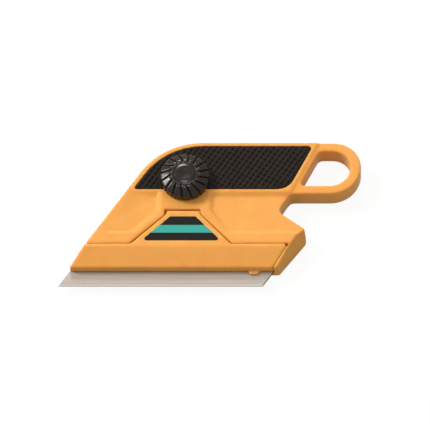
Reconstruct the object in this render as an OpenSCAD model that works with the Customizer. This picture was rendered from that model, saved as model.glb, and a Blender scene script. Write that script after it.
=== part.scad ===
// Razor scraper: a flat moulded handle with a finger loop, a wide slanted blade,
// a rocking clamp cover over the blade and a thumb knob that opens and shuts it.
// It lies on its back. +Z is the front, the cutting edge faces -Y, and the origin
// is the bottom centre of the whole tool.

/* [Blade] */
// Length of the cutting edge
blade_l = 100; // [90:1:120]
// Width from the cutting edge to the back edge
blade_w = 19; // [17:0.5:22]
// Thickness of the blade
blade_t = 0.6; // [0.4:0.1:1.2]
// Slant of the blade's ends, in degrees
blade_angle = 56; // [50:1:64]
// How far the blade stands out of the clamp
blade_reach = 8; // [5:0.5:11]
// Width of the ground bevel
bevel_w = 1.5; // [0.8:0.1:3]
// Thickness left at the cutting edge
edge_t = 0.1; // [0.05:0.05:0.3]
// Radius of a locating peg
peg_r = 1.5; // [1:0.1:2.2]
// Distance of the pegs from the blade's ends
peg_in = 25; // [15:1:35]
// Distance of the pegs from the blade's back edge
peg_back = 5; // [4:0.5:7]
// Distance that a peg is sunk into the bed
peg_sink = 2.6; // [1.5:0.1:3]
// Height of a peg above the blade
peg_up = 1; // [0.6:0.1:1.6]
// Room round a peg in the cover
peg_play = 0.8; // [0.5:0.1:1.2]

/* [Body] */
// Thickness of the body
body_t = 12; // [11.6:0.2:14]
// Height of the blade bed above the back
bed_z = 3.8; // [3.4:0.1:4.4]
// Lip of the body past the blade's end
side_lip = 0.4; // [0.2:0.1:1]
// Height of the front at the nose
nose_z = 8.4; // [7.6:0.1:10]
// Distance of the slope's upper end below the clamp strip's upper edge
slope_back = 1.3; // [0.8:0.1:4]
// Width of the nose beside the blade
nose_w = 2.4; // [1.6:0.1:4]
// Heel corner, past the blade's right tip
heel_reach = 22.4; // [20:0.2:26]
// Heel corner, above the clamp strip
heel_rise = 7.3; // [5:0.1:9]
// Front edge of the heel's lower side at the nose, past the blade's end
heel_edge = 0.9; // [0.6:0.1:1.6]
// Upper end of that front edge, above the clamp strip
heel_turn = 4.9; // [4:0.1:6]
// Distance of the heel's front corner from its foot's corner, along the notch
heel_back = 2.2; // [1:0.1:4]
// Height of the heel's upright foot
heel_foot = 1; // [0.5:0.1:2]
// Finger notch, past the blade's right tip
notch_reach = 7.5; // [5:0.5:10]
// Finger notch, above the clamp cover
notch_rise = 0.3; // [-1:0.1:2]
// Lean of the notch's inner side, as run per unit of rise
notch_lean = 0.61; // [0.4:0.01:0.8]
// Radius of the corner at the blade's left end
left_r = 1; // [0.5:0.1:2]
// Radius of the nose's corner
nose_r = 1.2; // [0.5:0.1:2]
// Radius of the heel's corner
heel_r = 3; // [1:0.5:5]
// Radius of the finger notch
notch_r = 3; // [1:0.5:5]
// Radius where the notch meets the loop
root_r = 4; // [2:0.5:6]
// Radius of the shoulder over the handle
top_r = 37; // [25:1:42]
// Depth of the finger pans at their upper end
pan_d = 1.6; // [0.8:0.1:2.4]
// Depth of the finger pans at their lower end
pan_low_d = 0.7; // [0.3:0.1:1.2]
// Width of the slope beside the pans
pan_slope = 1.7; // [1:0.1:3]
// Width of the slope at the pans' upper end
pan_top_slope = 2.4; // [1:0.1:4]
// Width of the slope beside the pans' lower end
pan_low_slope = 3; // [2:0.1:6]
// Width of the step at the pans' lower end
pan_foot = 1; // [0.5:0.1:2]
// Half width of the raised border at the knob
border_w = 12.2; // [11:0.1:14]
// Width of the raised border beside the clamp tower
border_side = 3.9; // [2:0.1:5]
// Distance of the pans' upper end below the grip
pan_below = 1; // [0.6:0.1:2]
// Height of the pans' lower end above the clamp strip
pan_above = 6; // [4:0.5:9]

/* [Clamp cover] */
// Width of the strip over the blade
strip_w = 11.7; // [10:0.1:14]
// Height of the tower above the strip
tower_h = 18.6; // [17:0.1:22]
// Tower shoulder left of the knob axis
tower_left = 9.1; // [8.6:0.1:11]
// Tower shoulder right of the knob axis
tower_right = 7.4; // [7.2:0.1:9]
// Flare of the tower's left side
flare_left = 17.4; // [12:0.1:22]
// Flare of the tower's right side
flare_right = 15; // [12:0.1:20]
// Height of the tower's upright shoulders
shoulder_h = 2; // [1:0.1:3]
// Gap round the cover
cover_gap = 0.4; // [0.35:0.05:0.8]
// Slit above the tower
top_slit = 0.9; // [0.6:0.1:1.5]
// How far the heel laps over the blade's end
end_lap = 0.6; // [0.3:0.1:1]
// Running gap between the cover and the blade
seat_gap = 0.05; // [0.03:0.01:0.1]
// Radius of the strip's upper right corner
strip_r = 1.2; // [0.5:0.1:2]
// Width of the lift tab
tab_w = 4.8; // [3:0.1:8]
// Reach of the lift tab over the blade
tab_reach = 2.2; // [1:0.1:3.5]
// Thickness of the lift tab
tab_t = 1.3; // [0.8:0.1:2]
// Flare of the lift tab's sides
tab_splay = 0.5; // [0.2:0.1:1.5]
// Distance of the lift tab from the strip's right end
tab_in = 7; // [3:0.5:30]
// Depth of the label's recess
label_t = 0.25; // [0.2:0.05:0.5]
// Margin above the label
label_top = 3.4; // [2.5:0.1:5]
// Margin below the label
label_low = 1.7; // [1:0.1:3]
// Margin beside the label
label_side = 3.4; // [3:0.1:6]
// Radius of the label's lower corners
label_low_r = 1; // [0.4:0.1:2]
// Radius of the label's upper corners
label_top_r = 0.6; // [0.3:0.1:1]

/* [Loop] */
// Right end of the loop, past the blade's right tip
loop_reach = 48; // [44:1:56]
// Height of the loop
loop_h = 28.6; // [26:0.1:32]
// Width of the loop's bars
loop_w = 4.7; // [3.5:0.1:6]
// Width of the loop's end
loop_end_w = 5.2; // [4:0.1:7]
// Step from the body's faces down to the loop's
loop_step = 0.7; // [0.5:0.1:2]
// Outer radius of the loop's upper corner
loop_top_r = 13.2; // [10:0.1:14]
// Outer radius of the loop's lower corner
loop_low_r = 15.2; // [11:0.1:15.5]
// Radius of the opening's lower left corner
opening_low_r = 1.5; // [0.5:0.1:3]
// Radius of the opening's upper left corner
opening_top_r = 3; // [1:0.5:5]

/* [Grip] */
// Width of the rim round the grip
rim_w = 2; // [1.2:0.1:3]
// Width of the rim along the grip's left edge
rim_left = 2.4; // [1.2:0.1:3]
// Lower edge of the grip above the clamp cover
grip_rise = 12; // [11.2:0.1:14]
// Height of the grip
grip_h = 24.5; // [22:0.5:30]
// Lower right corner of the grip, past the blade's right tip
grip_reach = 12.4; // [11:0.1:14]
// Lean of the grip's right end, as run per unit of rise
grip_lean = 0.5; // [0.35:0.01:0.6]
// Radius of the grip's left corner
grip_left_r = 1; // [0.5:0.1:2]
// Radius of the grip's lower right corner
grip_low_r = 9; // [3:0.5:10]
// Radius of the grip's upper right corner
grip_top_r = 1.5; // [1:0.1:4]
// Width of the bar between the grip and the loop
bar_w = 4.2; // [3:0.1:6]
// Thickness of the front grip's bed
grip_t = 2; // [1.2:0.1:2.4]
// Height of the front grip above the body
grip_proud = 0.3; // [0.2:0.1:0.4]
// Thickness of the rear grip
rear_grip_t = 1.6; // [1:0.1:2]
// Radius of the rear grip's left corners
rear_grip_r = 4; // [1:0.5:6]

/* [Knob] */
// Knob axis from the blade's left tip
knob_x = 61.8; // [58:0.1:66]
// Knob axis above the clamp cover
knob_rise = 17.2; // [16.6:0.1:19]
// Radius of the knob's side, at the corners between two ribs
knob_r = 12.2; // [11.8:0.1:13]
// Radius of the knob's face
knob_face_r = 7.8; // [7.4:0.1:9]
// Height of the knob
knob_h = 6.1; // [5.5:0.1:8]
// Height of the knob's upright side
knob_side = 3.8; // [3:0.1:4.2]
// Width of the bevel above the knob's side
knob_bevel = 0.5; // [0.3:0.1:0.8]
// Number of ribs round the knob
knob_ribs = 16; // [10:1:20]
// Turn of the ribs at rest, in degrees
knob_phase = 7.5; // [0:0.5:22.5]
// Width of the slot between two ribs
rib_slot = 0.5; // [0.4:0.1:1.4]
// Depth of the slots
slot_d = 0.9; // [0.5:0.1:1.4]
// Reach of the slots over the knob's face
slot_in = 0.6; // [0.3:0.1:1]
// Lean of the slots away from the spokes, in degrees
slot_lean = 20; // [0:1:24]
// Radius of the cap in the knob's face
cap_r = 5.4; // [4.6:0.1:6]
// Thickness of the cap
cap_t = 1.8; // [1.2:0.1:2.2]
// Width of the cap's rim
cap_rim = 0.7; // [0.4:0.1:1]
// Height of the cap's rim above the knob's face
cap_lip = 0.23; // [0.1:0.01:0.4]
// Depth of the cap's dish
cap_dish = 0.5; // [0.2:0.1:0.8]
// Radius of the boss under the knob
boss_r = 11.4; // [11:0.1:11.8]

/* [Clamp screw] */
// Radius of the screw
screw_r = 2.5; // [2:0.1:2.8]
// Radius of the screw's head in the knob
head_r = 3.6; // [3.2:0.1:4.2]
// Height of the screw's head
head_t = 2.4; // [1.6:0.1:2.8]
// Height of the cap above the screw's head
cap_gap = 1; // [0.3:0.1:1.4]
// Height of the screw's end above the rear plate
screw_room = 0.8; // [0.4:0.1:1.5]
// Radial running gap of the screw
run_gap = 0.05; // [0.02:0.01:0.1]
// Thickness of the boss that carries the screw
boss_t = 2.75; // [2.5:0.05:3]
// Thickness of the washer under the knob
washer_t = 0.5; // [0.4:0.1:0.8]
// Radius of the washer under the knob
washer_r = 7; // [5:0.1:9]
// Thickness of the retaining ring
ring_t = 0.6; // [0.4:0.1:0.8]
// Radius of the retaining ring
ring_r = 4.4; // [3.8:0.1:5]
// Depth of the groove under the retaining ring
groove_d = 0.4; // [0.2:0.1:0.6]
// How much narrower the ring's mouth is than its groove
ring_grip = 0.8; // [0.4:0.1:1.2]
// Gap between the retaining ring and the cover's tail
ring_room = 0.2; // [0.1:0.05:0.3]
// Side of the square nut
nut_w = 8; // [7:0.1:9]
// Thickness of the nut
nut_t = 2.4; // [2:0.1:2.6]

/* [Rocker] */
// Radius of the pivot pin
pivot_r = 1; // [0.8:0.05:1.2]
// Pivot below the tower's upper edge
pivot_back = 2.3; // [2:0.1:3]
// Room below the pivot pin
pivot_room = 1.5; // [1:0.1:2]
// Pivot below the tail's front
pivot_drop = 1.4; // [1.2:0.1:2]
// Length of the pin's seat on each side of the tower
pivot_seat = 4; // [3:0.1:5]
// Width of the cover's tail
tail_w = 14; // [12:0.1:15]
// Thickness of the cover's tail
tail_t = 4.6; // [4.2:0.1:4.8]
// Reach of the tail past the screw
tail_end = 6.4; // [5.5:0.1:7]
// Free height round the nut in the tail
nut_play = 0.3; // [0.25:0.01:0.4]
// Room round the screw in the tail
screw_play = 0.5; // [0.4:0.05:0.8]
// Room under the tower's end for the rocking
rock_room = 0.4; // [0.3:0.1:0.8]
// Room beside the tail
tail_room = 1; // [0.6:0.1:1.5]

/* [Rear plate] */
// Thickness of the rear plate
plate_t = 1.6; // [1.2:0.1:1.8]
// Half width of the rear plate
plate_half = 15.4; // [14:0.1:17]
// Half width of the rear plate's upper edge
plate_top_half = 7; // [5:0.1:8]
// Margin of the rear plate above and below the cavity
plate_edge = 5; // [4:0.1:6]
// Corner radius of the rear plate
plate_r = 3; // [1:0.1:4]
// Radius of a rear screw's shank
rear_screw_r = 1.1; // [0.8:0.1:1.3]
// Radius of a rear screw's head
rear_head_r = 2.1; // [1.7:0.1:2.6]
// Length of a rear screw
rear_screw_l = 6.5; // [4:0.5:7]
// Rear screws from the cavity's side
rear_screw_in = 3.4; // [3:0.1:4]
// Lower pair of rear screws below the knob axis
rear_screw_low = 12.4; // [9:0.1:14]
// Upper rear screw above the cavity
rear_screw_up = 2.6; // [2.4:0.1:3]

/* [Hidden] */
$fn = 64;
arc_step = 6;
// Sections along the heel's twisted side, and their reach past the foot
heel_steps = 6;
heel_out = 8;
// Overshoot of a cut past a face
over = 1;
// Clearance of a seated piece
seat = 0.02;
// Clearance of a piece laid in a recess
lay = 0.1;
orange = "#f2a64c";
black = "#2a2725";
steel = "#b9b2aa";

// Places along Y, from the cutting edge up
nose_y = blade_reach;
strip_y = nose_y + strip_w;
tower_y = strip_y + tower_h;
pivot_y = tower_y - pivot_back;
knob_y = tower_y + knob_rise;
grip_y0 = tower_y + grip_rise;
grip_y1 = grip_y0 + grip_h;
top_y = grip_y1 + rim_w;
loop_y0 = top_y - loop_h;
// The loop's lower corner takes at most what the upper corner leaves of the height
loop_fit_r = min(loop_low_r, loop_h - loop_top_r);
slope_y = strip_y - slope_back;
heel_y = strip_y + heel_rise;
notch_y = tower_y + notch_rise;
peg_y = blade_w - peg_back;
cavity_y0 = pivot_y - pivot_r - pivot_room;
cavity_y1 = knob_y + tail_end + tail_room;

// Places along X, from the blade's left tip
slant = 1 / tan(blade_angle);
right_x = blade_l + loop_reach;
heel_x = blade_l + heel_reach;
notch_x = blade_l + notch_reach;
root_x = notch_x + notch_lean * (loop_y0 - notch_y);
grip_x1 = blade_l + grip_reach;
nose_x0 = blade_l + nose_y * slant + cover_gap;
nose_x1 = nose_x0 + nose_w;

// Places along Z, from the back up
blade_z = bed_z + blade_t;
cover_z = blade_z + seat_gap;
boss_z = body_t - boss_t;
ring_z = boss_z - run_gap - ring_t;
tail_z1 = ring_z - ring_room;
tail_z0 = tail_z1 - tail_t;
nut_z = (tail_z0 + tail_z1 - nut_t) / 2;
pivot_z = tail_z1 - pivot_drop;
knob_z = body_t + washer_t;
face_z = knob_z + knob_h;
cap_z = face_z - cap_t;
head_z = cap_z - head_t - cap_gap;
screw_end = plate_t + screw_room;
loop_z0 = loop_step;
loop_z1 = body_t - loop_step;

// X of the slanted left edge at height y, moved right by shift square to the edge
function left_x(y, shift = 0) = y * slant + shift / sin(blade_angle);

// X of the slanted right end of the blade at height y
function end_x(y) = blade_l + y * slant;

// X of the grip's right end at height y
function grip_end_x(y) = grip_x1 + grip_lean * (y - grip_y0);

// X of the tower's flared sides at height y, moved outwards by out
shoulder_y = tower_y - shoulder_h;
flare_h = shoulder_y - strip_y;
function flare_left_x(y, out = 0) =
    knob_x - tower_left - out - flare_left * (shoulder_y - y) / flare_h;
function flare_right_x(y, out = 0) =
    knob_x + tower_right + out + flare_right * (shoulder_y - y) / flare_h;

function unit(v) = v / norm(v);
function turn(a) = a > 180 ? a - 360 : a < -180 ? a + 360 : a;

// Points of one corner [x, y, radius] between its neighbours, as an arc
function corner(before, at, after) =
    at[2] <= 0 ? [[at[0], at[1]]] :
    let(
        p = [at[0], at[1]],
        u = unit([before[0], before[1]] - p),
        v = unit([after[0], after[1]] - p),
        half = acos(u * v) / 2,
        reach = at[2] / tan(half),
        centre = p + unit(u + v) * at[2] / sin(half),
        from = p + u * reach - centre,
        to = p + v * reach - centre,
        a0 = atan2(from[1], from[0]),
        sweep = turn(atan2(to[1], to[0]) - a0),
        steps = ceil(abs(sweep) / arc_step)
    )
    [for (i = [0:steps]) centre + at[2] * [cos(a0 + sweep * i / steps), sin(a0 + sweep * i / steps)]];

// Closed outline through corners [x, y, radius]
function outline(corners) = let(n = len(corners))
    [for (i = [0:n - 1]) each corner(corners[(i + n - 1) % n], corners[i], corners[(i + 1) % n])];

// Solid between rings of points that all have the same count
module loft(rings) {
    n = len(rings[0]);
    m = len(rings);
    sides = [for (j = [0:m - 2], i = [0:n - 1])
        each [[j * n + i, (j + 1) * n + i, (j + 1) * n + (i + 1) % n],
            [j * n + i, (j + 1) * n + (i + 1) % n, j * n + (i + 1) % n]]];
    bottom = [for (i = [1:n - 2]) [0, i, i + 1]];
    top = [for (i = [n - 1:-1:0]) (m - 1) * n + i];
    polyhedron([for (ring = rings) each ring], concat(bottom, sides, [top]), convexity = 4);
}

// Everything is drawn from the blade's left tip and then centred
module placed() {
    translate([-right_x / 2, -top_y / 2, 0]) children();
}

module slab(z0, z1) {
    translate([0, 0, z0]) linear_extrude(z1 - z0) children();
}

module at_knob(z) {
    translate([knob_x, knob_y, z]) children();
}

// Prism along X over an outline of [y, z] points
module along_x(x0, x1) {
    translate([x0, 0, 0]) rotate([90, 0, 90]) linear_extrude(x1 - x0) children();
}

module body_outline() {
    polygon(outline([
        [left_x(nose_y, -side_lip), nose_y, left_r],
        [nose_x1, nose_y, nose_r],
        [heel_x, heel_y, heel_r],
        [notch_x, notch_y, notch_r],
        [root_x, loop_y0, root_r],
        [right_x, loop_y0, loop_fit_r],
        [right_x, top_y, loop_top_r],
        [left_x(top_y, -side_lip), top_y, top_r]]));
}

module loop_opening() {
    inner_y0 = loop_y0 + loop_w;
    inner_y1 = top_y - loop_w;
    inner_x1 = right_x - loop_end_w;
    polygon(outline([
        [grip_end_x(inner_y0) + bar_w, inner_y0, opening_low_r],
        [inner_x1, inner_y0, loop_fit_r - loop_w],
        [inner_x1, inner_y1, loop_top_r - loop_w],
        [grip_end_x(inner_y1) + bar_w, inner_y1, opening_top_r]]));
}

// Region right of the grip's rim, where the loop is thinner than the body
module loop_side() {
    y0 = loop_y0 - over;
    y1 = top_y + over;
    polygon([[grip_end_x(y0) + rim_w, y0], [right_x + over, y0],
        [right_x + over, y1], [grip_end_x(y1) + rim_w, y1]]);
}

// Space over the front's slope towards the nose
module slope_cut() {
    fall = (body_t - nose_z) / (slope_y - nose_y);
    y0 = -over;
    along_x(-over, right_x + over)
        polygon([[slope_y + over / fall, body_t + over], [y0, body_t + over],
            [y0, body_t - fall * (slope_y - y0)]]);
}

// Space outside the heel's lower side, which leans out from its front edge to its foot,
// and outside the small facet at the heel's corner
module heel_cut() {
    foot = [[nose_x1, nose_y], [heel_x, heel_y]];
    front = [[end_x(nose_y) + heel_edge, nose_y],
        [end_x(strip_y + heel_turn), strip_y + heel_turn]];
    corner = [heel_x, heel_y] + heel_back * unit([notch_x - heel_x, notch_y - heel_y]);
    facet = corner - front[1];
    loft(concat(
        [for (i = [-1:heel_steps]) let(s = i / heel_steps) heel_ring(
            foot[0] + s * (foot[1] - foot[0]), front[0] + s * (front[1] - front[0]), foot[1] - foot[0])],
        [heel_ring(foot[1] + facet, front[1] + 2 * facet, facet)]));
}

// Section of that space between a foot point and a front point, across the way along
function heel_ring(foot, front, along) =
    let(
        top = body_t + over,
        high = foot + (front - foot) * (top - heel_foot) / (body_t - heel_foot),
        out = heel_out * unit([along[1], -along[0]])
    )
    [[foot[0], foot[1], heel_foot], [high[0], high[1], top],
        [high[0] + out[0], high[1] + out[1], top], [foot[0] + out[0], foot[1] + out[1], heel_foot]];

// Outline of the cover seen from the front, grown by gap on its inner sides
// and by slit at the tower's top and left shoulder
module hat(gap, slit, left, low, strip_r) {
    top = tower_y + slit;
    strip = strip_y + gap;
    side = max(gap, slit);
    side_drop = (side - gap) * flare_h / (flare_left + gap);
    polygon(outline([
        [left_x(low, -left), low, 0],
        [end_x(low) - end_lap - cover_gap + gap, low, 0],
        [end_x(strip) - end_lap - cover_gap + gap, strip, strip_r],
        [flare_right_x(strip_y, gap) + gap, strip, 0],
        [knob_x + tower_right + gap, shoulder_y + gap, 0],
        [knob_x + tower_right + gap, top, 0],
        [knob_x - tower_left - side, top, 0],
        [knob_x - tower_left - side, shoulder_y + gap - side_drop, 0],
        [flare_left_x(strip_y, gap) - gap, strip, 0],
        [left_x(strip, -left), strip, 0]]));
}

// Space that the cover sits in
module cover_room() {
    slab(blade_z, body_t + over) hat(cover_gap, top_slit, side_lip + over, nose_y - over, 0);
}

// Outline of the blade's pocket, open past the left end and the nose
module blade_room() {
    low = nose_y - over;
    polygon([[left_x(low, -side_lip - over), low], [end_x(low) + cover_gap, low],
        [end_x(blade_w + seat) + cover_gap, blade_w + seat],
        [left_x(blade_w + seat, -side_lip - over), blade_w + seat]]);
}

// Depth of a finger pan: deepest below the grip
pan_y0 = strip_y + pan_above;
pan_y1 = grip_y0 - pan_below;
pan_floor_y0 = pan_y0 + pan_foot;
pan_floor_y1 = pan_y1 - pan_top_slope;
pan_turn_y = shoulder_y + border_side - pan_slope;
function pan_depth(y) = pan_low_d + (pan_d - pan_low_d) * (y - pan_y0) / (pan_y1 - pan_y0);
function pan_point(x, y) = [x, y, body_t - pan_depth(y)];

// Space over one finger pan, from its floor's points and a rim outline that matches them
module pan(floor_pts, rim_pts) {
    loft([
        floor_pts,
        [for (p = rim_pts) [p[0], p[1], body_t]],
        [for (p = rim_pts) [p[0], p[1], body_t + over]]]);
}

// The left pan's floor rises to nothing at the left edge
module left_pan() {
    x1 = knob_x - border_w;
    low_x = flare_left_x(pan_y0, border_side);
    edge = -side_lip - lay;
    edge_z = body_t - lay;
    pan([[left_x(pan_floor_y0, edge), pan_floor_y0, edge_z],
            pan_point(low_x - pan_low_slope, pan_floor_y0), pan_point(x1 - pan_slope, pan_turn_y),
            pan_point(x1 - pan_slope, pan_floor_y1), [left_x(pan_floor_y1, edge), pan_floor_y1, edge_z]],
        [[left_x(pan_y0, edge), pan_y0], [low_x, pan_y0],
            [x1, pan_turn_y], [x1, pan_y1], [left_x(pan_y1, edge), pan_y1]]);
}

// The right pan runs out over the heel and the notch
module right_pan() {
    x0 = knob_x + border_w;
    low_x = flare_right_x(pan_y0, border_side);
    far = heel_x + over;
    pan([pan_point(low_x + pan_low_slope, pan_floor_y0), pan_point(far, pan_floor_y0),
            pan_point(far, pan_floor_y1), pan_point(x0 + pan_slope, pan_floor_y1),
            pan_point(x0 + pan_slope, pan_turn_y)],
        [[low_x, pan_y0], [far + lay, pan_y0], [far + lay, pan_y1], [x0, pan_y1], [x0, pan_turn_y]]);
}

// Outline of the front grip, moved inwards by inset
module grip_outline(inset = 0) {
    y0 = grip_y0 + inset;
    y1 = grip_y1 - inset;
    polygon(outline([
        [left_x(y0, rim_left - side_lip + inset), y0, grip_left_r],
        [grip_end_x(y0) - inset, y0, grip_low_r],
        [grip_end_x(y1) - inset, y1, grip_top_r],
        [left_x(y1, rim_left - side_lip + inset), y1, top_r - rim_w]]));
}

// Outline of the rear grip, which ends beside the rear plate
module rear_grip_outline(inset = 0) {
    y0 = grip_y0 + inset;
    y1 = grip_y1 - inset;
    shift = grip_x1 - knob_x - plate_half - rim_w - inset;
    polygon(outline([
        [grip_end_x(y0) - shift, y0, rear_grip_r],
        [grip_end_x(y0) - inset, y0, grip_low_r],
        [grip_end_x(y1) - inset, y1, grip_top_r],
        [grip_end_x(y1) - shift, y1, rear_grip_r]]));
}

module cavity_outline() {
    half = tail_w / 2 + tail_room;
    polygon([[knob_x - half, cavity_y0], [knob_x + half, cavity_y0],
        [knob_x + half, cavity_y1], [knob_x - half, cavity_y1]]);
}

// Shield shape that closes the cavity, grown by gap
module plate_outline(gap = 0) {
    low = plate_half + gap;
    high = plate_top_half + gap;
    y0 = cavity_y0 - plate_edge - gap;
    y1 = cavity_y1 + plate_edge + gap;
    turn_y = knob_y - plate_edge;
    translate([knob_x, 0]) polygon(outline([
        [-low, y0, plate_r], [low, y0, plate_r], [low, turn_y, plate_r],
        [high, y1, plate_r], [-high, y1, plate_r], [-low, turn_y, plate_r]]));
}

// One copy at each rear screw
module at_rear_screws() {
    off_x = tail_w / 2 + tail_room + rear_screw_in;
    low_y = knob_y - rear_screw_low;
    for (p = [[-off_x, low_y], [off_x, low_y], [0, cavity_y1 + rear_screw_up]])
        translate([knob_x + p[0], p[1], 0]) children();
}

// One copy at each locating peg
module at_pegs() {
    for (x = [peg_in, blade_l - peg_in]) translate([x + peg_y * slant, peg_y, 0]) children();
}

// One copy at the pin's seat on each side of the tower, drawn outwards along +X
module at_pivot_seats() {
    translate([knob_x - tower_left - cover_gap, pivot_y, 0]) mirror([1, 0, 0]) children();
    translate([knob_x + tower_right + cover_gap, pivot_y, 0]) children();
}

// How far the tower's flare reaches out beside the pin
flare_reach = max(flare_left, flare_right) * max(0, shoulder_y - pivot_y + pivot_r) / flare_h;

module body() {
    color(orange) placed() difference() {
        slab(0, body_t) body_outline();
        slab(-over, body_t + over) loop_opening();
        slab(loop_z1, body_t + over) loop_side();
        slab(-over, loop_z0) loop_side();
        slope_cut();
        heel_cut();
        cover_room();
        // Room under the tower's end, which goes down when the cover opens
        slab(blade_z - rock_room, blade_z + over)
            translate([knob_x - tower_left - cover_gap, pivot_y])
                square([tower_left + tower_right + 2 * cover_gap, tower_y + top_slit - pivot_y]);
        slab(bed_z, cover_z) blade_room();
        left_pan();
        right_pan();
        // Grip pockets, with the boss left standing under the knob
        difference() {
            slab(body_t - grip_t, body_t + over) grip_outline();
            at_knob(0) cylinder(r = boss_r, h = body_t + 2 * over);
        }
        slab(-over, rear_grip_t) rear_grip_outline();
        // Cavity for the cover's tail, and the rear plate's recess
        slab(-over, plate_t) plate_outline(lay);
        slab(0, boss_z) cavity_outline();
        at_knob(0) cylinder(r = screw_r + run_gap, h = body_t + over);
        // Saddles that the pivot pin drops into from the back
        at_pivot_seats() {
            translate([0, 0, pivot_z]) rotate([0, 90, 0]) cylinder(r = pivot_r + seat, h = pivot_seat);
            translate([0, -pivot_r - seat, 0]) cube([pivot_seat, 2 * (pivot_r + seat), pivot_z]);
        }
        at_pegs() translate([0, 0, bed_z - peg_sink]) cylinder(r = peg_r + seat, h = body_t);
        at_rear_screws() cylinder(r = rear_screw_r + seat, h = rear_screw_l + seat);
    }
}

module front_grip() {
    color(black) placed() difference() {
        slab(body_t - grip_t, body_t + grip_proud) grip_outline(lay);
        at_knob(0) cylinder(r = boss_r + lay, h = body_t + over);
    }
}

module rear_grip() {
    color(black) placed() slab(0, rear_grip_t) rear_grip_outline(lay);
}

module rear_plate() {
    post_h = pivot_z - pivot_r - seat - plate_t;
    color(orange) placed() difference() {
        union() {
            slab(0, plate_t) plate_outline();
            at_pivot_seats() translate([flare_reach, lay - pivot_r, plate_t])
                cube([pivot_seat - flare_reach - lay, 2 * (pivot_r - lay), post_h]);
        }
        at_rear_screws() {
            cylinder(r = rear_screw_r + lay, h = body_t);
            translate([0, 0, -lay])
                cylinder(r1 = rear_head_r + 2 * lay, r2 = rear_screw_r + lay,
                    h = rear_head_r - rear_screw_r + lay);
        }
    }
}

module rear_screws() {
    color(steel) placed() at_rear_screws() {
        cylinder(r = rear_screw_r, h = rear_screw_l);
        cylinder(r1 = rear_head_r, r2 = rear_screw_r, h = rear_head_r - rear_screw_r);
    }
}

module pivot_pin() {
    length = tower_left + tower_right + 2 * (cover_gap + pivot_seat);
    color(steel) placed()
        translate([knob_x - tower_left - cover_gap - pivot_seat, pivot_y, pivot_z])
            rotate([0, 90, 0]) cylinder(r = pivot_r, h = length);
}

module blade_pegs() {
    color(steel) placed() at_pegs() translate([0, 0, bed_z - peg_sink])
        cylinder(r = peg_r, h = peg_sink + blade_t + peg_up);
}

// Slanted blade with a ground edge and two open slots that run on the pegs
module blade() {
    slot_r = peg_r + lay;
    color(steel) placed() difference() {
        slab(bed_z, blade_z)
            polygon([[0, 0], [blade_l, 0], [end_x(blade_w), blade_w], [left_x(blade_w), blade_w]]);
        along_x(-over, blade_l + over)
            polygon([[0, bed_z + edge_t], [bevel_w, blade_z],
                [bevel_w, blade_z + over], [-over, blade_z + over], [-over, bed_z + edge_t]]);
        at_pegs() translate([0, 0, bed_z - over]) {
            cylinder(r = slot_r, h = blade_t + 2 * over);
            rotate([0, 0, blade_angle]) translate([0, -slot_r, 0])
                cube([2 * blade_w, 2 * slot_r, blade_t + 2 * over]);
        }
    }
}

// Outline of the label, set back from the tower's sides
module label_outline(gap = 0) {
    y0 = strip_y + label_low - gap;
    y1 = tower_y - label_top + gap;
    polygon(outline([
        [flare_left_x(y0, -label_side) - gap, y0, label_low_r],
        [flare_right_x(y0, -label_side) + gap, y0, label_low_r],
        [flare_right_x(y1, -label_side) + gap, y1, label_top_r],
        [flare_left_x(y1, -label_side) - gap, y1, label_top_r]]));
}

module lift_tab() {
    x1 = end_x(nose_y) - cover_gap - tab_in;
    slab(cover_z, cover_z + tab_t)
        polygon([[x1 - tab_w - tab_splay, nose_y], [x1 - tab_w, nose_y - tab_reach],
            [x1, nose_y - tab_reach], [x1 + tab_splay, nose_y]]);
}

module clamp_cover() {
    half = tail_w / 2;
    slot_h = nut_t + 2 * nut_play;
    color(orange) placed() difference() {
        union() {
            difference() {
                slab(cover_z, body_t) hat(0, 0, side_lip, nose_y, strip_r);
                slope_cut();
            }
            lift_tab();
            translate([knob_x - half, pivot_y, tail_z0])
                cube([tail_w, knob_y + tail_end - pivot_y, tail_t]);
        }
        slab(body_t - label_t, body_t + over) label_outline(lay / 2);
        // Bore for the pivot pin, room for the screw and the nut's slot
        translate([0, pivot_y, pivot_z]) rotate([0, 90, 0]) cylinder(r = pivot_r + run_gap, h = right_x);
        at_knob(0) cylinder(r = screw_r + screw_play, h = body_t);
        translate([knob_x - nut_w / 2 - lay, knob_y - nut_w / 2 - 2 * lay, nut_z - nut_play])
            cube([nut_w + 2 * lay, nut_w + body_t, slot_h]);
        at_pegs() translate([0, 0, cover_z - over])
            cylinder(r = peg_r + peg_play, h = over + peg_up + peg_play);
    }
}

module cover_label() {
    color(black) placed() slab(body_t - label_t, body_t) label_outline();
}

module clamp_nut() {
    color(steel) placed() at_knob(nut_z) difference() {
        translate([-nut_w / 2, -nut_w / 2, 0]) cube([nut_w, nut_w, nut_t]);
        translate([0, 0, -over]) cylinder(r = screw_r + run_gap, h = nut_t + 2 * over);
    }
}

module clamp_screw() {
    color(steel) placed() at_knob(0) difference() {
        union() {
            translate([0, 0, screw_end]) cylinder(r = screw_r, h = head_z + head_t - screw_end);
            translate([0, 0, head_z]) cylinder(r = head_r, h = head_t);
        }
        translate([0, 0, ring_z - seat]) difference() {
            cylinder(r = screw_r + over, h = ring_t + 2 * seat);
            cylinder(r = screw_r - groove_d, h = ring_t + 2 * seat);
        }
    }
}

// Snap ring with one open side
module retaining_ring() {
    mouth = 2 * (screw_r - groove_d) - ring_grip;
    color(steel) placed() at_knob(ring_z) difference() {
        cylinder(r = ring_r, h = ring_t);
        translate([0, 0, -over]) cylinder(r = screw_r - groove_d + seat, h = ring_t + 2 * over);
        translate([0, -mouth / 2, -over]) cube([ring_r + over, mouth, ring_t + 2 * over]);
    }
}

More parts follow.
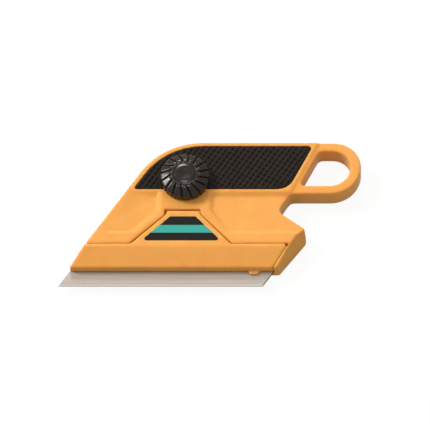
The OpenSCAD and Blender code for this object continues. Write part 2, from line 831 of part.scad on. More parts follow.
module knob_washer() {
    color(steel) placed() at_knob(body_t) difference() {
        cylinder(r = washer_r, h = washer_t);
        translate([0, 0, -over]) cylinder(r = screw_r + 2 * lay, h = washer_t + 2 * over);
    }
}

// How far round the knob a leaning slot has come at radius r, in degrees
slot_start = knob_face_r - slot_in;
function slot_turn(r) =
    let(along = sqrt(pow(r, 2) - pow(slot_start * sin(slot_lean), 2)) - slot_start * cos(slot_lean))
    atan2(along * sin(slot_lean), slot_start + along * cos(slot_lean));

// Corners of the knob at one height, one at each slot, made smaller by inset
function knob_ring(r, z, inset) =
    [for (i = [0:knob_ribs - 1]) let(a = i * 360 / knob_ribs + slot_turn(r))
        [(r - inset) * cos(a), (r - inset) * sin(a), z]];

// Flat-sided knob with a dished seat for the cap, made smaller by inset
module knob_shape(inset) {
    difference() {
        loft([
            knob_ring(knob_r, 0, inset),
            knob_ring(knob_r, knob_side - inset, inset),
            knob_ring(knob_r - knob_bevel, knob_side + knob_bevel - inset, inset),
            knob_ring(knob_face_r, knob_h - inset, inset)]);
        translate([0, 0, knob_h - cap_t]) cylinder(r = cap_r + lay, h = cap_t + over);
    }
}

module clamp_knob() {
    color(black) placed() at_knob(knob_z) rotate([0, 0, knob_phase]) difference() {
        union() {
            knob_shape(slot_d);
            difference() {
                knob_shape(0);
                for (i = [0:knob_ribs - 1]) rotate([0, 0, i * 360 / knob_ribs])
                    translate([slot_start, 0, -over]) rotate([0, 0, slot_lean])
                        translate([0, -rib_slot / 2, 0]) cube([knob_r, rib_slot, knob_h + 2 * over]);
            }
        }
        translate([0, 0, -over]) cylinder(r = screw_r + seat, h = knob_h);
        translate([0, 0, head_z - knob_z - seat]) cylinder(r = head_r + seat, h = knob_h);
    }
}

// Dished cap with a raised rim
module knob_cap() {
    color(black) placed() at_knob(cap_z) rotate_extrude() polygon([
        [0, 0], [cap_r, 0], [cap_r, cap_t], [cap_r - cap_rim / 2, cap_t + cap_lip],
        [cap_r - cap_rim, cap_t], [cap_r - 2 * cap_rim, cap_t - cap_dish], [0, cap_t - cap_dish]]);
}

body();
front_grip();
rear_grip();
rear_plate();
rear_screws();
pivot_pin();
blade_pegs();
blade();
clamp_cover();
cover_label();
clamp_nut();
clamp_screw();
retaining_ring();
knob_washer();
clamp_knob();
knob_cap();
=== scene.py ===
import itertools
import math

import bpy
import numpy as np
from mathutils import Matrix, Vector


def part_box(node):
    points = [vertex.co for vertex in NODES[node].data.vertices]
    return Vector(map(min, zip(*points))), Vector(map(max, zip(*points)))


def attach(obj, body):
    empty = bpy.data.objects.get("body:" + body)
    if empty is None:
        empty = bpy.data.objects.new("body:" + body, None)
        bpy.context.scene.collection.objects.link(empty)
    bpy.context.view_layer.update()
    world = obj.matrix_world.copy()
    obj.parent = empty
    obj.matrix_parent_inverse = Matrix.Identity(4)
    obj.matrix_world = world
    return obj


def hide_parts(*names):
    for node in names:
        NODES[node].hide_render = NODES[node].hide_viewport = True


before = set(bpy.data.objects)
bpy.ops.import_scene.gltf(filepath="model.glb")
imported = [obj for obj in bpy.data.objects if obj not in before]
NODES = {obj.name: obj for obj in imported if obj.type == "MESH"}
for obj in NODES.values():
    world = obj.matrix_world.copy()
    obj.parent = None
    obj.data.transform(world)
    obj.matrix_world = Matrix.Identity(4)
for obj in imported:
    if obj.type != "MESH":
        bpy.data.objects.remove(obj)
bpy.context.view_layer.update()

import openvdb
from mathutils import Vector

# Named sizes are in mm unless their heading says otherwise, and Blender's own are in metres
MM = 0.001

# Voxels that each piece is moulded with, and the spread that rounds its edges
BODY_VOXEL = 0.25
SKIN_SPREAD = 0.5
GAP_SPREAD = 0.12
GRIP_VOXEL = 0.2
GRIP_SPREAD = 0.25
KNOB_VOXEL = 0.12
KNOB_SPREAD = 0.2
PLATE_VOXEL = 0.2
PLATE_SPREAD = 0.2
SCREW_VOXEL = 0.1
SCREW_SPREAD = 0.1

# How far the body and the cover each grow into the gap between them
GAP_CLOSE = 0.13

# Distance fields, in voxels: how far they reach, their margin, and a last spread over pits and seams
BAND_VOXELS = 12
PAD_VOXELS = 10
PITS_SPREAD_VOXELS = 0.6
SEAM_SPREAD_VOXELS = 0.5

# Where the bell curve of a spread is cut off, in sigmas
SPREAD_SIGMAS = 3

# How freely the faces of a moulded skin are merged, from 0 to 1
SHELL_MERGE = 0.02
DETAIL_MERGE = 0.05

# Nodes that the outer surface of the handle and the cover runs across
OUTER_NODES = (
    "body", "clamp_cover", "cover_label", "front_grip", "rear_grip", "rear_plate", "rear_screws")

# Pits of the grips: two crossing waves, and the part of their product over which a pit deepens
ROW_PITCH = 2.36
ROW_TURN = math.radians(-33.8)
PIT_PITCH = 2.53
PIT_TURN = math.radians(60.9)
PIT_START = 0.12
PIT_FULL = 0.7
PIT_DEPTH = 0.5
GROOVE_DEPTH = 0.1

# Plain border of the grips, and plain collar round the knob
GRIP_BORDER = 0.75
BORDER_BLEND = 0.2
BORDER_DROP = 0.3
COLLAR_R = 13.4
COLLAR_BLEND = 0.3

# Knob: radius of its side, radius where its face starts to slope, drop per mm from there, and its crest
KNOB_SIDE_R = 12.0
KNOB_FACE_R = 7.8
KNOB_FACE_DROP = 0.46
CREST_ROUND = 0.9

# Slots between the knob's ribs, and the round notch at the inner end of each
KNOB_RIBS = 16
KNOB_PHASE = math.radians(7.5)
SLOT_START = 7.2
SLOT_LEAN = math.radians(20)
SLOT_HALF = 0.36
SLOT_DEPTH = 0.7
NOTCH_AT = 6.9
NOTCH_R = 0.5

# Knob cap: bevel round its crest and dish inside it
CAP_BEVEL = 1.2
CAP_BEVEL_POWER = 1.2
CAP_DROP = 0.28
CAP_DISH = 0.2
CAP_DISH_R = 0.6
CAP_RINGS = 24
CAP_SIDES = 96
CAP_CREASE = math.radians(40)

# Rear screws: how far the points of one lie apart at most, and the cross recess in its head
SCREW_REACH = 6
CROSS_REACH = 1.25
CROSS_HALF = 0.3
CROSS_DEPTH = 0.9
CROSS_TAPER = 0.6

# Widths of lines painted on the blade: a painted highlight beside its honed edge, and painted shade
# along that edge and along its sheared end
BEVEL_HIGHLIGHT_W = 1.3
EDGE_SHADE_W = 0.5
END_SHADE_W = 0.6

# How close to the honed edge a point of the blade counts as on it
EDGE_NEAR = 0.1

# Upward share of a face's direction: below the first it is an upright cut face, which gets painted shade
# on the blade, above the second it lies flat
UPRIGHT_LEVEL = 0.5
FLAT_LEVEL = 0.8

# Teal band on the label, as shares of the label's height from below
BAND_LOW = 0.32
BAND_HIGH = 0.64

# Values of a noise between which a finish changes
NOISE_LOW = 0.3
NOISE_HIGH = 0.7

# Floor: half its width, its drop below the object, its shades to the eye and to bounced light, its glow
FLOOR_HALF = 4000
FLOOR_DROP = 0.2
FLOOR_PALE = 0.95
FLOOR_GREY = 0.45
FLOOR_GLOW = 0.93

# Light: the sky, and for each sun the direction it shines from, its strength and its breadth in degrees
SKY_COLOUR = (1, 0.96, 0.89, 1)
SKY_STRENGTH = 0.52
SUN_COLOUR = (1, 0.965, 0.92)
SUNS = {
    "key": ((-0.68, 0.3, 0.67), 2.15, 18),
    "top": ((0, 0.12, 0.99), 0.3, 14),
    "rim": ((-0.1, 0.8, 0.6), 0.9, 16),
}

# Picture: its width, what it is aimed at, and the camera's height in degrees, distance and sight
PICTURE_W = 210.4
AIM_X = 2.57
AIM_Y = 4.2
ELEVATION = 60
CAMERA_REACH = 600
CAMERA_SIGHT = 5000


# Distance fields of the CAD nodes

def grid_around(names, voxel):
    """First voxel and shape of a grid that holds some nodes with a margin."""
    boxes = [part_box(name) for name in names]
    low = np.min([np.array(box[0]) for box in boxes], axis=0) / MM
    high = np.max([np.array(box[1]) for box in boxes], axis=0) / MM
    first = np.floor(low / voxel).astype(int) - PAD_VOXELS
    last = np.ceil(high / voxel).astype(int) + PAD_VOXELS
    return first, tuple(last - first + 1)


def distance(name, first, shape, voxel):
    """Signed distance to a CAD node in mm, negative inside, on a grid."""
    mesh = NODES[name].data
    mesh.calc_loop_triangles()
    points = np.empty(len(mesh.vertices) * 3, np.float32)
    mesh.vertices.foreach_get("co", points)
    corners = np.empty(len(mesh.loop_triangles) * 3, np.int32)
    mesh.loop_triangles.foreach_get("vertices", corners)
    level_set = openvdb.FloatGrid.createLevelSetFromPolygons(
        (points.reshape(-1, 3) / MM).astype(np.float32),
        triangles=corners.reshape(-1, 3).astype(np.uint32),
        transform=openvdb.createLinearTransform(voxelSize=voxel),
        halfWidth=BAND_VOXELS)
    field = np.empty(shape, np.float32)
    level_set.copyToArray(field, ijk=tuple(first.tolist()))
    return field


def spread(field, sigma):
    """Gaussian blur of a field by sigma voxels, which rounds its edges."""
    reach = int(SPREAD_SIGMAS * sigma) + 1
    weights = np.exp(-0.5 * (np.arange(-reach, reach + 1) / sigma) ** 2)
    weights = (weights / weights.sum()).astype(np.float32)
    for axis in range(3):
        margin = [(reach, reach) if i == axis else (0, 0) for i in range(3)]
        padded = np.pad(field, margin, mode="edge")
        total = np.zeros_like(field)
        for step, weight in enumerate(weights):
            cut = [slice(None)] * 3
            cut[axis] = slice(step, step + field.shape[axis])
            total += weight * padded[tuple(cut)]
        field = total
    return field


def places(first, shape, voxel):
    """X, Y and Z of a grid in mm, ready to be combined."""
    axes = [(first[i] + np.arange(shape[i])) * voxel for i in range(3)]
    return np.meshgrid(*axes, indexing="ij", sparse=True)


def sampled(field, spots):
    """Field at spots given in voxels from the grid's first one."""
    base = np.floor(spots).astype(int)
    share = spots - base
    total = np.zeros(len(spots))
    for corner in itertools.product((0, 1), repeat=3):
        weight = np.prod(np.where(corner, share, 1 - share), axis=1)
        i, j, k = (base + corner).T
        total += weight * field[i, j, k]
    return total


def slopes(field, spots):
    """Outward directions of a field at spots given in voxels."""
    rises = [sampled(field, spots + step) - sampled(field, spots - step) for step in np.eye(3)]
    slope = np.stack(rises, axis=1)
    return slope / np.linalg.norm(slope, axis=1, keepdims=True)


def add_object(name, data):
    """New object in the scene, with a mesh, lamp or camera in it."""
    shown = bpy.data.objects.new(name, data)
    bpy.context.scene.collection.objects.link(shown)
    return shown


def skin(name, field, first, voxel, merge):
    """Object over the zero surface of a field, shaded with the field's own directions."""
    grid = openvdb.FloatGrid(BAND_VOXELS * voxel)
    grid.copyFromArray(field, ijk=tuple(first.tolist()))
    grid.transform = openvdb.createLinearTransform(voxelSize=voxel)
    points, triangles, quads = grid.convertToPolygons(isovalue=0.0, adaptivity=merge)
    mesh = bpy.data.meshes.new(name)
    mesh.from_pydata((points * MM).tolist(), [], quads.tolist() + triangles.tolist())
    mesh.polygons.foreach_set("use_smooth", [True] * len(mesh.polygons))
    mesh.normals_split_custom_set_from_vertices(slopes(field, points / voxel - first).tolist())
    return add_object(name, mesh)


def smooth_step(value, low, high):
    """Share that eases from 0 at low to 1 at high."""
    share = np.clip((value - low) / (high - low), 0, 1)
    return share * share * (3 - 2 * share)


# Orange shells

def moulded_shells():
    """Body and clamp cover, rounded together on the outside and apart at their gaps."""
    nodes = ["body", "clamp_cover"]
    first, shape = grid_around(nodes, BODY_VOXEL)
    fields = {name: distance(name, first, shape, BODY_VOXEL) for name in OUTER_NODES}
    whole = spread(np.minimum.reduce(list(fields.values())), SKIN_SPREAD / BODY_VOXEL)
    shells = []
    for node in nodes:
        own = spread(fields[node], GAP_SPREAD / BODY_VOXEL) - GAP_CLOSE
        field = spread(np.maximum(whole, own), SEAM_SPREAD_VOXELS)
        shells.append(skin(node + "_moulded", field, first, BODY_VOXEL, SHELL_MERGE))
    return shells


def moulded_plate():
    """The rear plate with its edges rounded."""
    first, shape = grid_around(["rear_plate"], PLATE_VOXEL)
    field = spread(distance("rear_plate", first, shape, PLATE_VOXEL), PLATE_SPREAD / PLATE_VOXEL)
    return skin("rear_plate_moulded", field, first, PLATE_VOXEL, SHELL_MERGE)


# Grips

def wave(x, y, pitch, turn):
    """Wave from 0 to 1 across x and y."""
    along = (x * math.cos(turn) + y * math.sin(turn)) / pitch
    return 0.5 + 0.5 * np.cos(2 * math.pi * along)


def pits(x, y):
    """Depth of the grip's texture at x and y: rows of pits in slanted grooves."""
    row = wave(x, y, ROW_PITCH, ROW_TURN)
    pit = smooth_step(row * wave(x, y, PIT_PITCH, PIT_TURN), PIT_START, PIT_FULL)
    return PIT_DEPTH * pit + GROOVE_DEPTH * row


def knob_axis():
    """X and Y of the knob's axis in mm."""
    low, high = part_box("clamp_knob")
    return (low.x + high.x) / 2 / MM, (low.y + high.y) / 2 / MM


def textured_grip(node, front):
    """A rubber grip with a plain border and a field of pits on its outer face."""
    first, shape = grid_around([node], GRIP_VOXEL)
    plain = distance(node, first, shape, GRIP_VOXEL)
    x, y, z = places(first, shape, GRIP_VOXEL)
    low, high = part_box(node)
    middle = int(round((low.z + high.z) / 2 / MM / GRIP_VOXEL)) - first[2]
    inset = -plain[:, :, middle:middle + 1]
    inner = smooth_step(inset, GRIP_BORDER - BORDER_BLEND, GRIP_BORDER + BORDER_BLEND)
    if front:
        axis_x, axis_y = knob_axis()
        from_axis = np.hypot(x - axis_x, y - axis_y)
        inner = inner * smooth_step(from_axis, COLLAR_R - COLLAR_BLEND, COLLAR_R + COLLAR_BLEND)
    depth = inner * pits(x, y) + (1 - inner) * BORDER_DROP
    outside = z - high.z / MM + depth if front else low.z / MM + depth - z
    field = np.maximum(spread(plain, GRIP_SPREAD / GRIP_VOXEL), outside).astype(np.float32)
    return skin(node + "_textured", spread(field, PITS_SPREAD_VOXELS), first, GRIP_VOXEL, DETAIL_MERGE)


# Knob and its cap

def knob_slot(x, y, turn):
    """Distance to one slot and its notch, seen along the knob's axis, with x and y from that axis."""
    lean = turn + SLOT_LEAN
    from_x = x - SLOT_START * math.cos(turn)
    from_y = y - SLOT_START * math.sin(turn)
    along = from_x * math.cos(lean) + from_y * math.sin(lean)
    across = from_y * math.cos(lean) - from_x * math.sin(lean)
    slot = np.maximum(np.abs(across) - SLOT_HALF, -along)
    notch = np.hypot(x - NOTCH_AT * math.cos(turn), y - NOTCH_AT * math.sin(turn)) - NOTCH_R
    return np.minimum(slot, notch)


def ribbed_knob():
    """The knob with wider slots, a round notch at the inner end of each and a rounder crest."""
    first, shape = grid_around(["clamp_knob"], KNOB_VOXEL)
    field = distance("clamp_knob", first, shape, KNOB_VOXEL)
    x, y, z = places(first, shape, KNOB_VOXEL)
    axis_x, axis_y = knob_axis()
    x = x - axis_x
    y = y - axis_y
    r = np.hypot(x, y)
    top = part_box("clamp_knob")[1].z / MM
    past = np.clip(r - KNOB_FACE_R + CREST_ROUND, 0, 2 * CREST_ROUND)
    field = np.maximum(field, z - top + KNOB_FACE_DROP * past ** 2 / (4 * CREST_ROUND))
    slot_floor = top - SLOT_DEPTH - KNOB_FACE_DROP * np.maximum(r - KNOB_FACE_R, 0)
    core = np.maximum(z - slot_floor, r - KNOB_SIDE_R + SLOT_DEPTH)
    for rib in range(KNOB_RIBS):
        turn = KNOB_PHASE + rib * 2 * math.pi / KNOB_RIBS
        opened = np.maximum(knob_slot(x, y, turn), -core)
        field = np.maximum(field, -opened)
    field = spread(field.astype(np.float32), KNOB_SPREAD / KNOB_VOXEL)
    return skin("clamp_knob_moulded", field, first, KNOB_VOXEL, DETAIL_MERGE)


def cap_height(r, crest_r, top):
    """Height of the cap's face at radius r: a dish, a crest and a bevel."""
    dish = CAP_DISH * (1 - smooth_step(r, CAP_DISH_R, crest_r))
    bevel = CAP_DROP * np.clip((r - crest_r) / CAP_BEVEL, 0, 1) ** CAP_BEVEL_POWER
    return top - dish - bevel


def turned_faces(rings):
    """Faces of a solid of rings, whose points 0 and 1 are the middles of its two ends."""
    first = 2
    last = first + (rings - 1) * CAP_SIDES
    faces = []
    for side in range(CAP_SIDES):
        after = (side + 1) % CAP_SIDES
        faces.append((0, first + side, first + after))
        for inner in range(first, last, CAP_SIDES):
            outer = inner + CAP_SIDES
            faces.append((inner + side, outer + side, outer + after, inner + after))
        faces.append((1, last + after, last + side))
    return faces


def turned_cap():
    """The knob's cap, turned from a profile."""
    low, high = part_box("knob_cap")
    outer_r = (high.x - low.x) / 2 / MM
    axis_x, axis_y = knob_axis()
    radii = np.linspace(outer_r / CAP_RINGS, outer_r, CAP_RINGS)
    heights = cap_height(radii, outer_r - CAP_BEVEL, high.z / MM)
    rings = list(zip(radii, heights)) + [(outer_r, low.z / MM)]
    points = [(axis_x, axis_y, high.z / MM - CAP_DISH), (axis_x, axis_y, low.z / MM)]
    for r, z in rings:
        for turn in np.linspace(0, 2 * math.pi, CAP_SIDES, endpoint=False):
            points.append((axis_x + r * math.cos(turn), axis_y + r * math.sin(turn), z))
    mesh = bpy.data.meshes.new("knob_cap_turned")
    mesh.from_pydata((np.array(points) * MM).tolist(), [], turned_faces(len(rings)))
    mesh.shade_smooth()
    mesh.set_sharp_from_angle(angle=CAP_CREASE)
    return add_object("knob_cap_turned", mesh)


# Rear screws

def screw_middles():
    """X and Y of the middle of each rear screw in mm."""
    points = np.array([vertex.co for vertex in NODES["rear_screws"].data.vertices])[:, :2] / MM
    middles = []
    while len(points):
        near = np.linalg.norm(points - points[0], axis=1) < SCREW_REACH
        middles.append((points[near].min(axis=0) + points[near].max(axis=0)) / 2)
        points = points[~near]
    return middles


def cross_screws():
    """The rear screws with a cross recess in each head."""
    first, shape = grid_around(["rear_screws"], SCREW_VOXEL)
    field = spread(distance("rear_screws", first, shape, SCREW_VOXEL), SCREW_SPREAD / SCREW_VOXEL)
    x, y, z = places(first, shape, SCREW_VOXEL)
    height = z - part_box("rear_screws")[0].z / MM
    reach = CROSS_REACH - height * CROSS_TAPER
    for middle_x, middle_y in screw_middles():
        dx = np.abs(x - middle_x)
        dy = np.abs(y - middle_y)
        bar = np.maximum(dx - reach, dy - CROSS_HALF)
        post = np.maximum(dy - reach, dx - CROSS_HALF)
        recess = np.maximum(np.minimum(bar, post), height - CROSS_DEPTH)
        field = np.maximum(field, -recess).astype(np.float32)
    return skin("rear_screws_cross", field, first, SCREW_VOXEL, DETAIL_MERGE)


# Nodes that materials are made of

def empty_material(name):
    """Material with nothing but its output."""
    material = bpy.data.materials.new(name)
    material.use_nodes = True
    tree = material.node_tree
    tree.nodes.clear()
    output = tree.nodes.new("ShaderNodeOutputMaterial")
    return material, tree, output.inputs["Surface"]


def new_material(name):
    """Material with a Principled shader and object coordinates."""
    material, tree, surface = empty_material(name)
    shader = tree.nodes.new("ShaderNodeBsdfPrincipled")
    tree.links.new(shader.outputs["BSDF"], surface)
    coordinates = tree.nodes.new("ShaderNodeTexCoord")
    return material, tree, shader, coordinates.outputs["Object"]


def add_noise(tree, vector, size, detail, stretch=None):
    """Noise with patches of about the given size in mm, stretched along axes if asked."""
    noise = tree.nodes.new("ShaderNodeTexNoise")
    noise.inputs["Scale"].default_value = 1 / (size * MM)
    noise.inputs["Detail"].default_value = detail
    if stretch:
        mapping = tree.nodes.new("ShaderNodeMapping")
        mapping.inputs["Scale"].default_value = stretch
        tree.links.new(vector, mapping.inputs["Vector"])
        vector = mapping.outputs["Vector"]
    tree.links.new(vector, noise.inputs["Vector"])
    return noise.outputs["Fac"]


def add_ramp(tree, value, stops, interpolation="LINEAR"):
    """Colour ramp over a value, from (place, colour) stops."""
    ramp = tree.nodes.new("ShaderNodeValToRGB")
    ramp.color_ramp.interpolation = interpolation
    elements = ramp.color_ramp.elements
    while len(elements) < len(stops):
        elements.new(0.5)
    for element, (place, colour) in zip(elements, stops):
        element.position = place
        element.color = (*colour, 1)
    tree.links.new(value, ramp.inputs["Fac"])
    return ramp.outputs["Color"]


def add_shades(tree, noise, dark, pale):
    """Colour that wanders from dark to pale with a noise."""
    return add_ramp(tree, noise, [(NOISE_LOW, dark), (NOISE_HIGH, pale)])


def add_mix(tree, share, first, second):
    """Blend of two colours."""
    mix = tree.nodes.new("ShaderNodeMix")
    mix.data_type = "RGBA"
    tree.links.new(share, mix.inputs["Factor"])
    tree.links.new(first, mix.inputs["A"])
    tree.links.new(second, mix.inputs["B"])
    return mix.outputs["Result"]


def add_reach(tree, vector, direction, start, stop):
    """Value that runs from 0 at start to 1 at stop, in metres along a direction."""
    along = tree.nodes.new("ShaderNodeVectorMath")
    along.operation = "DOT_PRODUCT"
    along.inputs[1].default_value = direction
    tree.links.new(vector, along.inputs[0])
    reach = tree.nodes.new("ShaderNodeMapRange")
    reach.inputs["From Min"].default_value = start
    reach.inputs["From Max"].default_value = stop
    tree.links.new(along.outputs["Value"], reach.inputs["Value"])
    return reach.outputs["Result"]


def add_upright(tree):
    """Share that is 1 on upright faces and 0 on those that lie flat; it places the blade's painted
    shade.
    """
    coordinates = tree.nodes.new("ShaderNodeTexCoord")
    split = tree.nodes.new("ShaderNodeSeparateXYZ")
    level = tree.nodes.new("ShaderNodeMath")
    level.operation = "ABSOLUTE"
    tree.links.new(coordinates.outputs["Normal"], split.inputs["Vector"])
    tree.links.new(split.outputs["Z"], level.inputs[0])
    return add_ramp(tree, level.outputs["Value"], [(UPRIGHT_LEVEL, (1,) * 3), (FLAT_LEVEL, (0,) * 3)])


def paint(tree, shader, colour):
    """Give a shader its colour."""
    tree.links.new(colour, shader.inputs["Base Color"])


def add_satin(tree, shader, noise, smooth, rough):
    """Give a shader a roughness that wanders between two values with a noise."""
    roughness = add_shades(tree, noise, (smooth,) * 3, (rough,) * 3)
    tree.links.new(roughness, shader.inputs["Roughness"])


def add_bump(tree, shader, noise, strength, depth):
    """Give a shader bumps from a noise, as deep as depth in mm."""
    bump = tree.nodes.new("ShaderNodeBump")
    bump.inputs["Strength"].default_value = strength
    bump.inputs["Distance"].default_value = depth * MM
    tree.links.new(noise, bump.inputs["Height"])
    tree.links.new(bump.outputs["Normal"], shader.inputs["Normal"])


def srgb(red, green, blue):
    """Linear colour from 0 to 255 screen values."""
    values = [c / 255 for c in (red, green, blue)]
    return tuple(v / 12.92 if v <= 0.04045 else ((v + 0.055) / 1.055) ** 2.4 for v in values)


# Materials

def orange_plastic():
    """Orange plastic that lets a little light through."""
    material, tree, shader, vector = new_material("orange_plastic")
    patches = add_noise(tree, vector, size=9, detail=4)
    paint(tree, shader, add_shades(tree, patches, dark=srgb(229, 165, 82), pale=srgb(233, 170, 87)))
    shader.inputs["Subsurface Weight"].default_value = 1
    shader.inputs["Subsurface Radius"].default_value = (1, 0.3, 0.08)
    shader.inputs["Subsurface Scale"].default_value = 1.4 * MM
    shader.inputs["Specular IOR Level"].default_value = 0.25
    satin = add_noise(tree, vector, size=1.6, detail=3)
    add_satin(tree, shader, satin, smooth=0.42, rough=0.52)
    grain = add_noise(tree, vector, size=0.35, detail=2)
    add_bump(tree, shader, grain, strength=0.12, depth=0.05)
    return material


def grip_rubber():
    """Dull black rubber."""
    material, tree, shader, vector = new_material("grip_rubber")
    patches = add_noise(tree, vector, size=5, detail=4)
    paint(tree, shader, add_shades(tree, patches, dark=srgb(30, 24, 20), pale=srgb(38, 31, 27)))
    shader.inputs["Specular IOR Level"].default_value = 0.12
    dust = add_noise(tree, vector, size=0.8, detail=3)
    add_satin(tree, shader, dust, smooth=0.52, rough=0.66)
    grain = add_noise(tree, vector, size=0.25, detail=2)
    add_bump(tree, shader, grain, strength=0.2, depth=0.05)
    return material


def knob_plastic(name, smooth, rough, grain_strength):
    """Black plastic with a satin that varies between two roughnesses, and a fine grain."""
    material, tree, shader, vector = new_material(name)
    patches = add_noise(tree, vector, size=4, detail=4)
    paint(tree, shader, add_shades(tree, patches, dark=srgb(23, 16, 13), pale=srgb(30, 22, 18)))
    shader.inputs["Specular IOR Level"].default_value = 0.5
    satin = add_noise(tree, vector, size=0.9, detail=3)
    add_satin(tree, shader, satin, smooth, rough)
    grain = add_noise(tree, vector, size=0.25, detail=2)
    add_bump(tree, shader, grain, grain_strength, depth=0.04)
    return material


def blade_slant():
    """Sideways lean of the blade's ends for each unit of y."""
    low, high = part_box("blade")
    points = [vertex.co for vertex in NODES["blade"].data.vertices]
    edge_end = max(p.x for p in points if p.y < low.y + EDGE_NEAR * MM)
    return (high.x - edge_end) / (high.y - low.y)


def blade_steel():
    """Brushed steel with a painted highlight beside the cutting edge, and painted shade along that edge,
    on the cut end and on upright faces.
    """
    material, tree, shader, vector = new_material("blade_steel")
    shader.inputs["Metallic"].default_value = 0.7
    brushed = add_noise(tree, vector, size=0.6, detail=4, stretch=(0.04, 1, 1))
    flat = add_shades(tree, brushed, dark=srgb(179, 171, 166), pale=srgb(191, 183, 178))
    # Pale painted highlight for the line beside the edge, where its bevel would catch light
    edge = add_shades(tree, brushed, dark=srgb(228, 217, 207), pale=srgb(238, 228, 218))
    # Near-black painted shade for the blade's upright faces, its honed edge and its sheared end
    ends = add_shades(tree, brushed, dark=srgb(24, 22, 20), pale=srgb(36, 33, 31))
    low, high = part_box("blade")
    bevel_highlight = add_reach(tree, vector, (0, -1, 0), -low.y - BEVEL_HIGHLIGHT_W * MM, -low.y - EDGE_SHADE_W * MM)
    edge_shade = add_reach(tree, vector, (0, -1, 0), -low.y - EDGE_SHADE_W * MM, -low.y)
    slant = blade_slant()
    far = high.x - slant * high.y
    end_shade = add_reach(tree, vector, (1, -slant, 0), far - END_SHADE_W * MM, far)
    # Painted shade on upright faces, then the painted highlight beside the edge, then painted shade
    # along the edge and along the sheared end
    colour = add_mix(tree, add_upright(tree), flat, ends)
    colour = add_mix(tree, bevel_highlight, colour, edge)
    colour = add_mix(tree, edge_shade, colour, ends)
    paint(tree, shader, add_mix(tree, end_shade, colour, ends))
    lines = add_noise(tree, vector, size=0.3, detail=3, stretch=(0.03, 1, 1))
    add_satin(tree, shader, lines, smooth=0.6, rough=0.7)
    add_bump(tree, shader, lines, strength=0.15, depth=0.02)
    return material


def zinc_steel():
    """Zinc-plated steel, a little worn."""
    material, tree, shader, vector = new_material("zinc_steel")
    shader.inputs["Metallic"].default_value = 0.9
    patches = add_noise(tree, vector, size=1.2, detail=4)
    paint(tree, shader, add_shades(tree, patches, dark=srgb(168, 166, 160), pale=srgb(198, 196, 190)))
    worn = add_noise(tree, vector, size=0.5, detail=3)
    add_satin(tree, shader, worn, smooth=0.28, rough=0.42)
    add_bump(tree, shader, worn, strength=0.1, depth=0.02)
    return material


def label_film():
    """Black film with one plain teal band across it."""
    material, tree, shader, vector = new_material("label_film")
    low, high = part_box("cover_label")
    across = add_reach(tree, vector, (0, 1, 0), low.y, high.y)
    black = srgb(26, 23, 22)
    teal = srgb(58, 162, 152)
    stops = [(0, black), (BAND_LOW, teal), (BAND_HIGH, black)]
    paint(tree, shader, add_ramp(tree, across, stops, interpolation="CONSTANT"))
    shader.inputs["Specular IOR Level"].default_value = 0.15
    film = add_noise(tree, vector, size=2.5, detail=3)
    add_satin(tree, shader, film, smooth=0.3, rough=0.38)
    add_bump(tree, shader, film, strength=0.06, depth=0.03)
    return material


# Stage

def add_diffuse(tree, shade):
    """Dull grey shader."""
    dull = tree.nodes.new("ShaderNodeBsdfDiffuse")
    dull.inputs["Color"].default_value = (shade, shade, shade, 1)
    return dull.outputs["BSDF"]


def add_blend(tree, first, second):
    """Blend of two shaders, and the socket for the share of the second."""
    blend = tree.nodes.new("ShaderNodeMixShader")
    tree.links.new(first, blend.inputs[1])
    tree.links.new(second, blend.inputs[2])
    return blend.outputs["Shader"], blend.inputs["Fac"]


def add_sum(tree, first, second):
    """Sum of two values, 1 at most."""
    total = tree.nodes.new("ShaderNodeMath")
    total.operation = "ADD"
    total.use_clamp = True
    tree.links.new(first, total.inputs[0])
    tree.links.new(second, total.inputs[1])
    return total.outputs["Value"]


def floor_material():
    """White floor for the camera that still takes the shadow, and a grey one for bounced light."""
    material, tree, surface = empty_material("studio_floor")
    glow = tree.nodes.new("ShaderNodeEmission")
    glow.inputs["Strength"].default_value = 1
    white, glow_share = add_blend(tree, add_diffuse(tree, FLOOR_PALE), glow.outputs["Emission"])
    glow_share.default_value = FLOOR_GLOW
    both, seen_share = add_blend(tree, add_diffuse(tree, FLOOR_GREY), white)
    path = tree.nodes.new("ShaderNodeLightPath")
    seen = add_sum(tree, path.outputs["Is Camera Ray"], path.outputs["Is Glossy Ray"])
    seen = add_sum(tree, seen, path.outputs["Is Transmission Ray"])
    tree.links.new(seen, seen_share)
    tree.links.new(both, surface)
    return material


def add_floor():
    """Flat floor just under the object."""
    half = FLOOR_HALF * MM
    corners = [(-half, -half, 0), (half, -half, 0), (half, half, 0), (-half, half, 0)]
    mesh = bpy.data.meshes.new("studio_floor")
    mesh.from_pydata(corners, [], [(0, 1, 2, 3)])
    mesh.materials.append(floor_material())
    floor = add_object("studio_floor", mesh)
    floor.location.z = -FLOOR_DROP * MM


def add_sun(name, source, strength, breadth):
    """Even light from a direction, as broad as an angle in degrees."""
    lamp = bpy.data.lights.new(name, "SUN")
    lamp.energy = strength
    lamp.color = SUN_COLOUR
    lamp.angle = math.radians(breadth)
    light = add_object(name, lamp)
    light.rotation_euler = (-Vector(source)).to_track_quat("-Z", "Y").to_euler()


def add_world():
    """Even light from all round."""
    world = bpy.data.worlds.new("studio")
    world.use_nodes = True
    sky = world.node_tree.nodes["Background"]
    sky.inputs["Color"].default_value = SKY_COLOUR
    sky.inputs["Strength"].default_value = SKY_STRENGTH
    bpy.context.scene.world = world


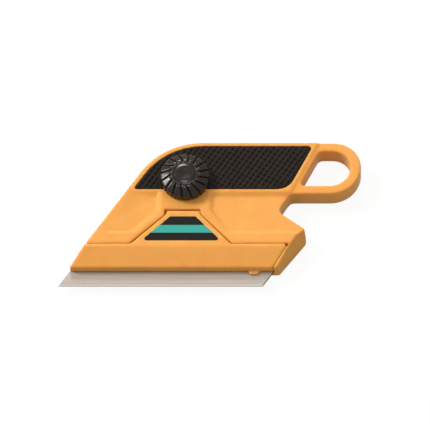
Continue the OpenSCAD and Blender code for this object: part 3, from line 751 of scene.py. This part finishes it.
def add_camera():
    """Camera without perspective, looking down at the front."""
    lens = bpy.data.cameras.new("camera")
    lens.type = "ORTHO"
    lens.ortho_scale = PICTURE_W * MM
    lens.clip_end = CAMERA_SIGHT * MM
    camera = add_object("camera", lens)
    tilt = math.radians(ELEVATION)
    reach = CAMERA_REACH * MM
    camera.location = (AIM_X * MM, AIM_Y * MM - reach * math.cos(tilt), reach * math.sin(tilt))
    camera.rotation_euler = (math.pi / 2 - tilt, 0, 0)
    bpy.context.scene.camera = camera


# Scene

def stand_in(shown, node, body, material):
    """Show a piece instead of a CAD node, on the node's body."""
    shown.data.materials.append(material)
    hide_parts(node)
    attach(shown, body)


def dress_cad_node(node, material):
    """Finish for a CAD node that is shown as it is."""
    NODES[node].data.materials.clear()
    NODES[node].data.materials.append(material)


def build():
    """Make and dress every piece."""
    orange = orange_plastic()
    rubber = grip_rubber()
    ribs = knob_plastic("knob_plastic", smooth=0.22, rough=0.3, grain_strength=0.1)
    gloss = knob_plastic("cap_plastic", smooth=0.18, rough=0.26, grain_strength=0.03)
    steel = blade_steel()
    zinc = zinc_steel()
    body, cover = moulded_shells()
    stand_in(body, "body", "handle", orange)
    stand_in(cover, "clamp_cover", "cover", orange)
    stand_in(moulded_plate(), "rear_plate", "handle", orange)
    stand_in(textured_grip("front_grip", front=True), "front_grip", "handle", rubber)
    stand_in(textured_grip("rear_grip", front=False), "rear_grip", "handle", rubber)
    stand_in(ribbed_knob(), "clamp_knob", "knob", ribs)
    stand_in(turned_cap(), "knob_cap", "knob", gloss)
    stand_in(cross_screws(), "rear_screws", "handle", zinc)
    dress_cad_node("blade", steel)
    dress_cad_node("cover_label", label_film())
    for node in ("pivot_pin", "blade_pegs", "clamp_nut", "clamp_screw", "retaining_ring", "knob_washer"):
        dress_cad_node(node, zinc)


def light_and_shoot():
    """Set up the floor, the light and the camera."""
    add_floor()
    add_world()
    for name, (source, strength, breadth) in SUNS.items():
        add_sun(name, source, strength, breadth)
    add_camera()
    bpy.context.scene.view_settings.view_transform = "Standard"


build()
light_and_shoot()
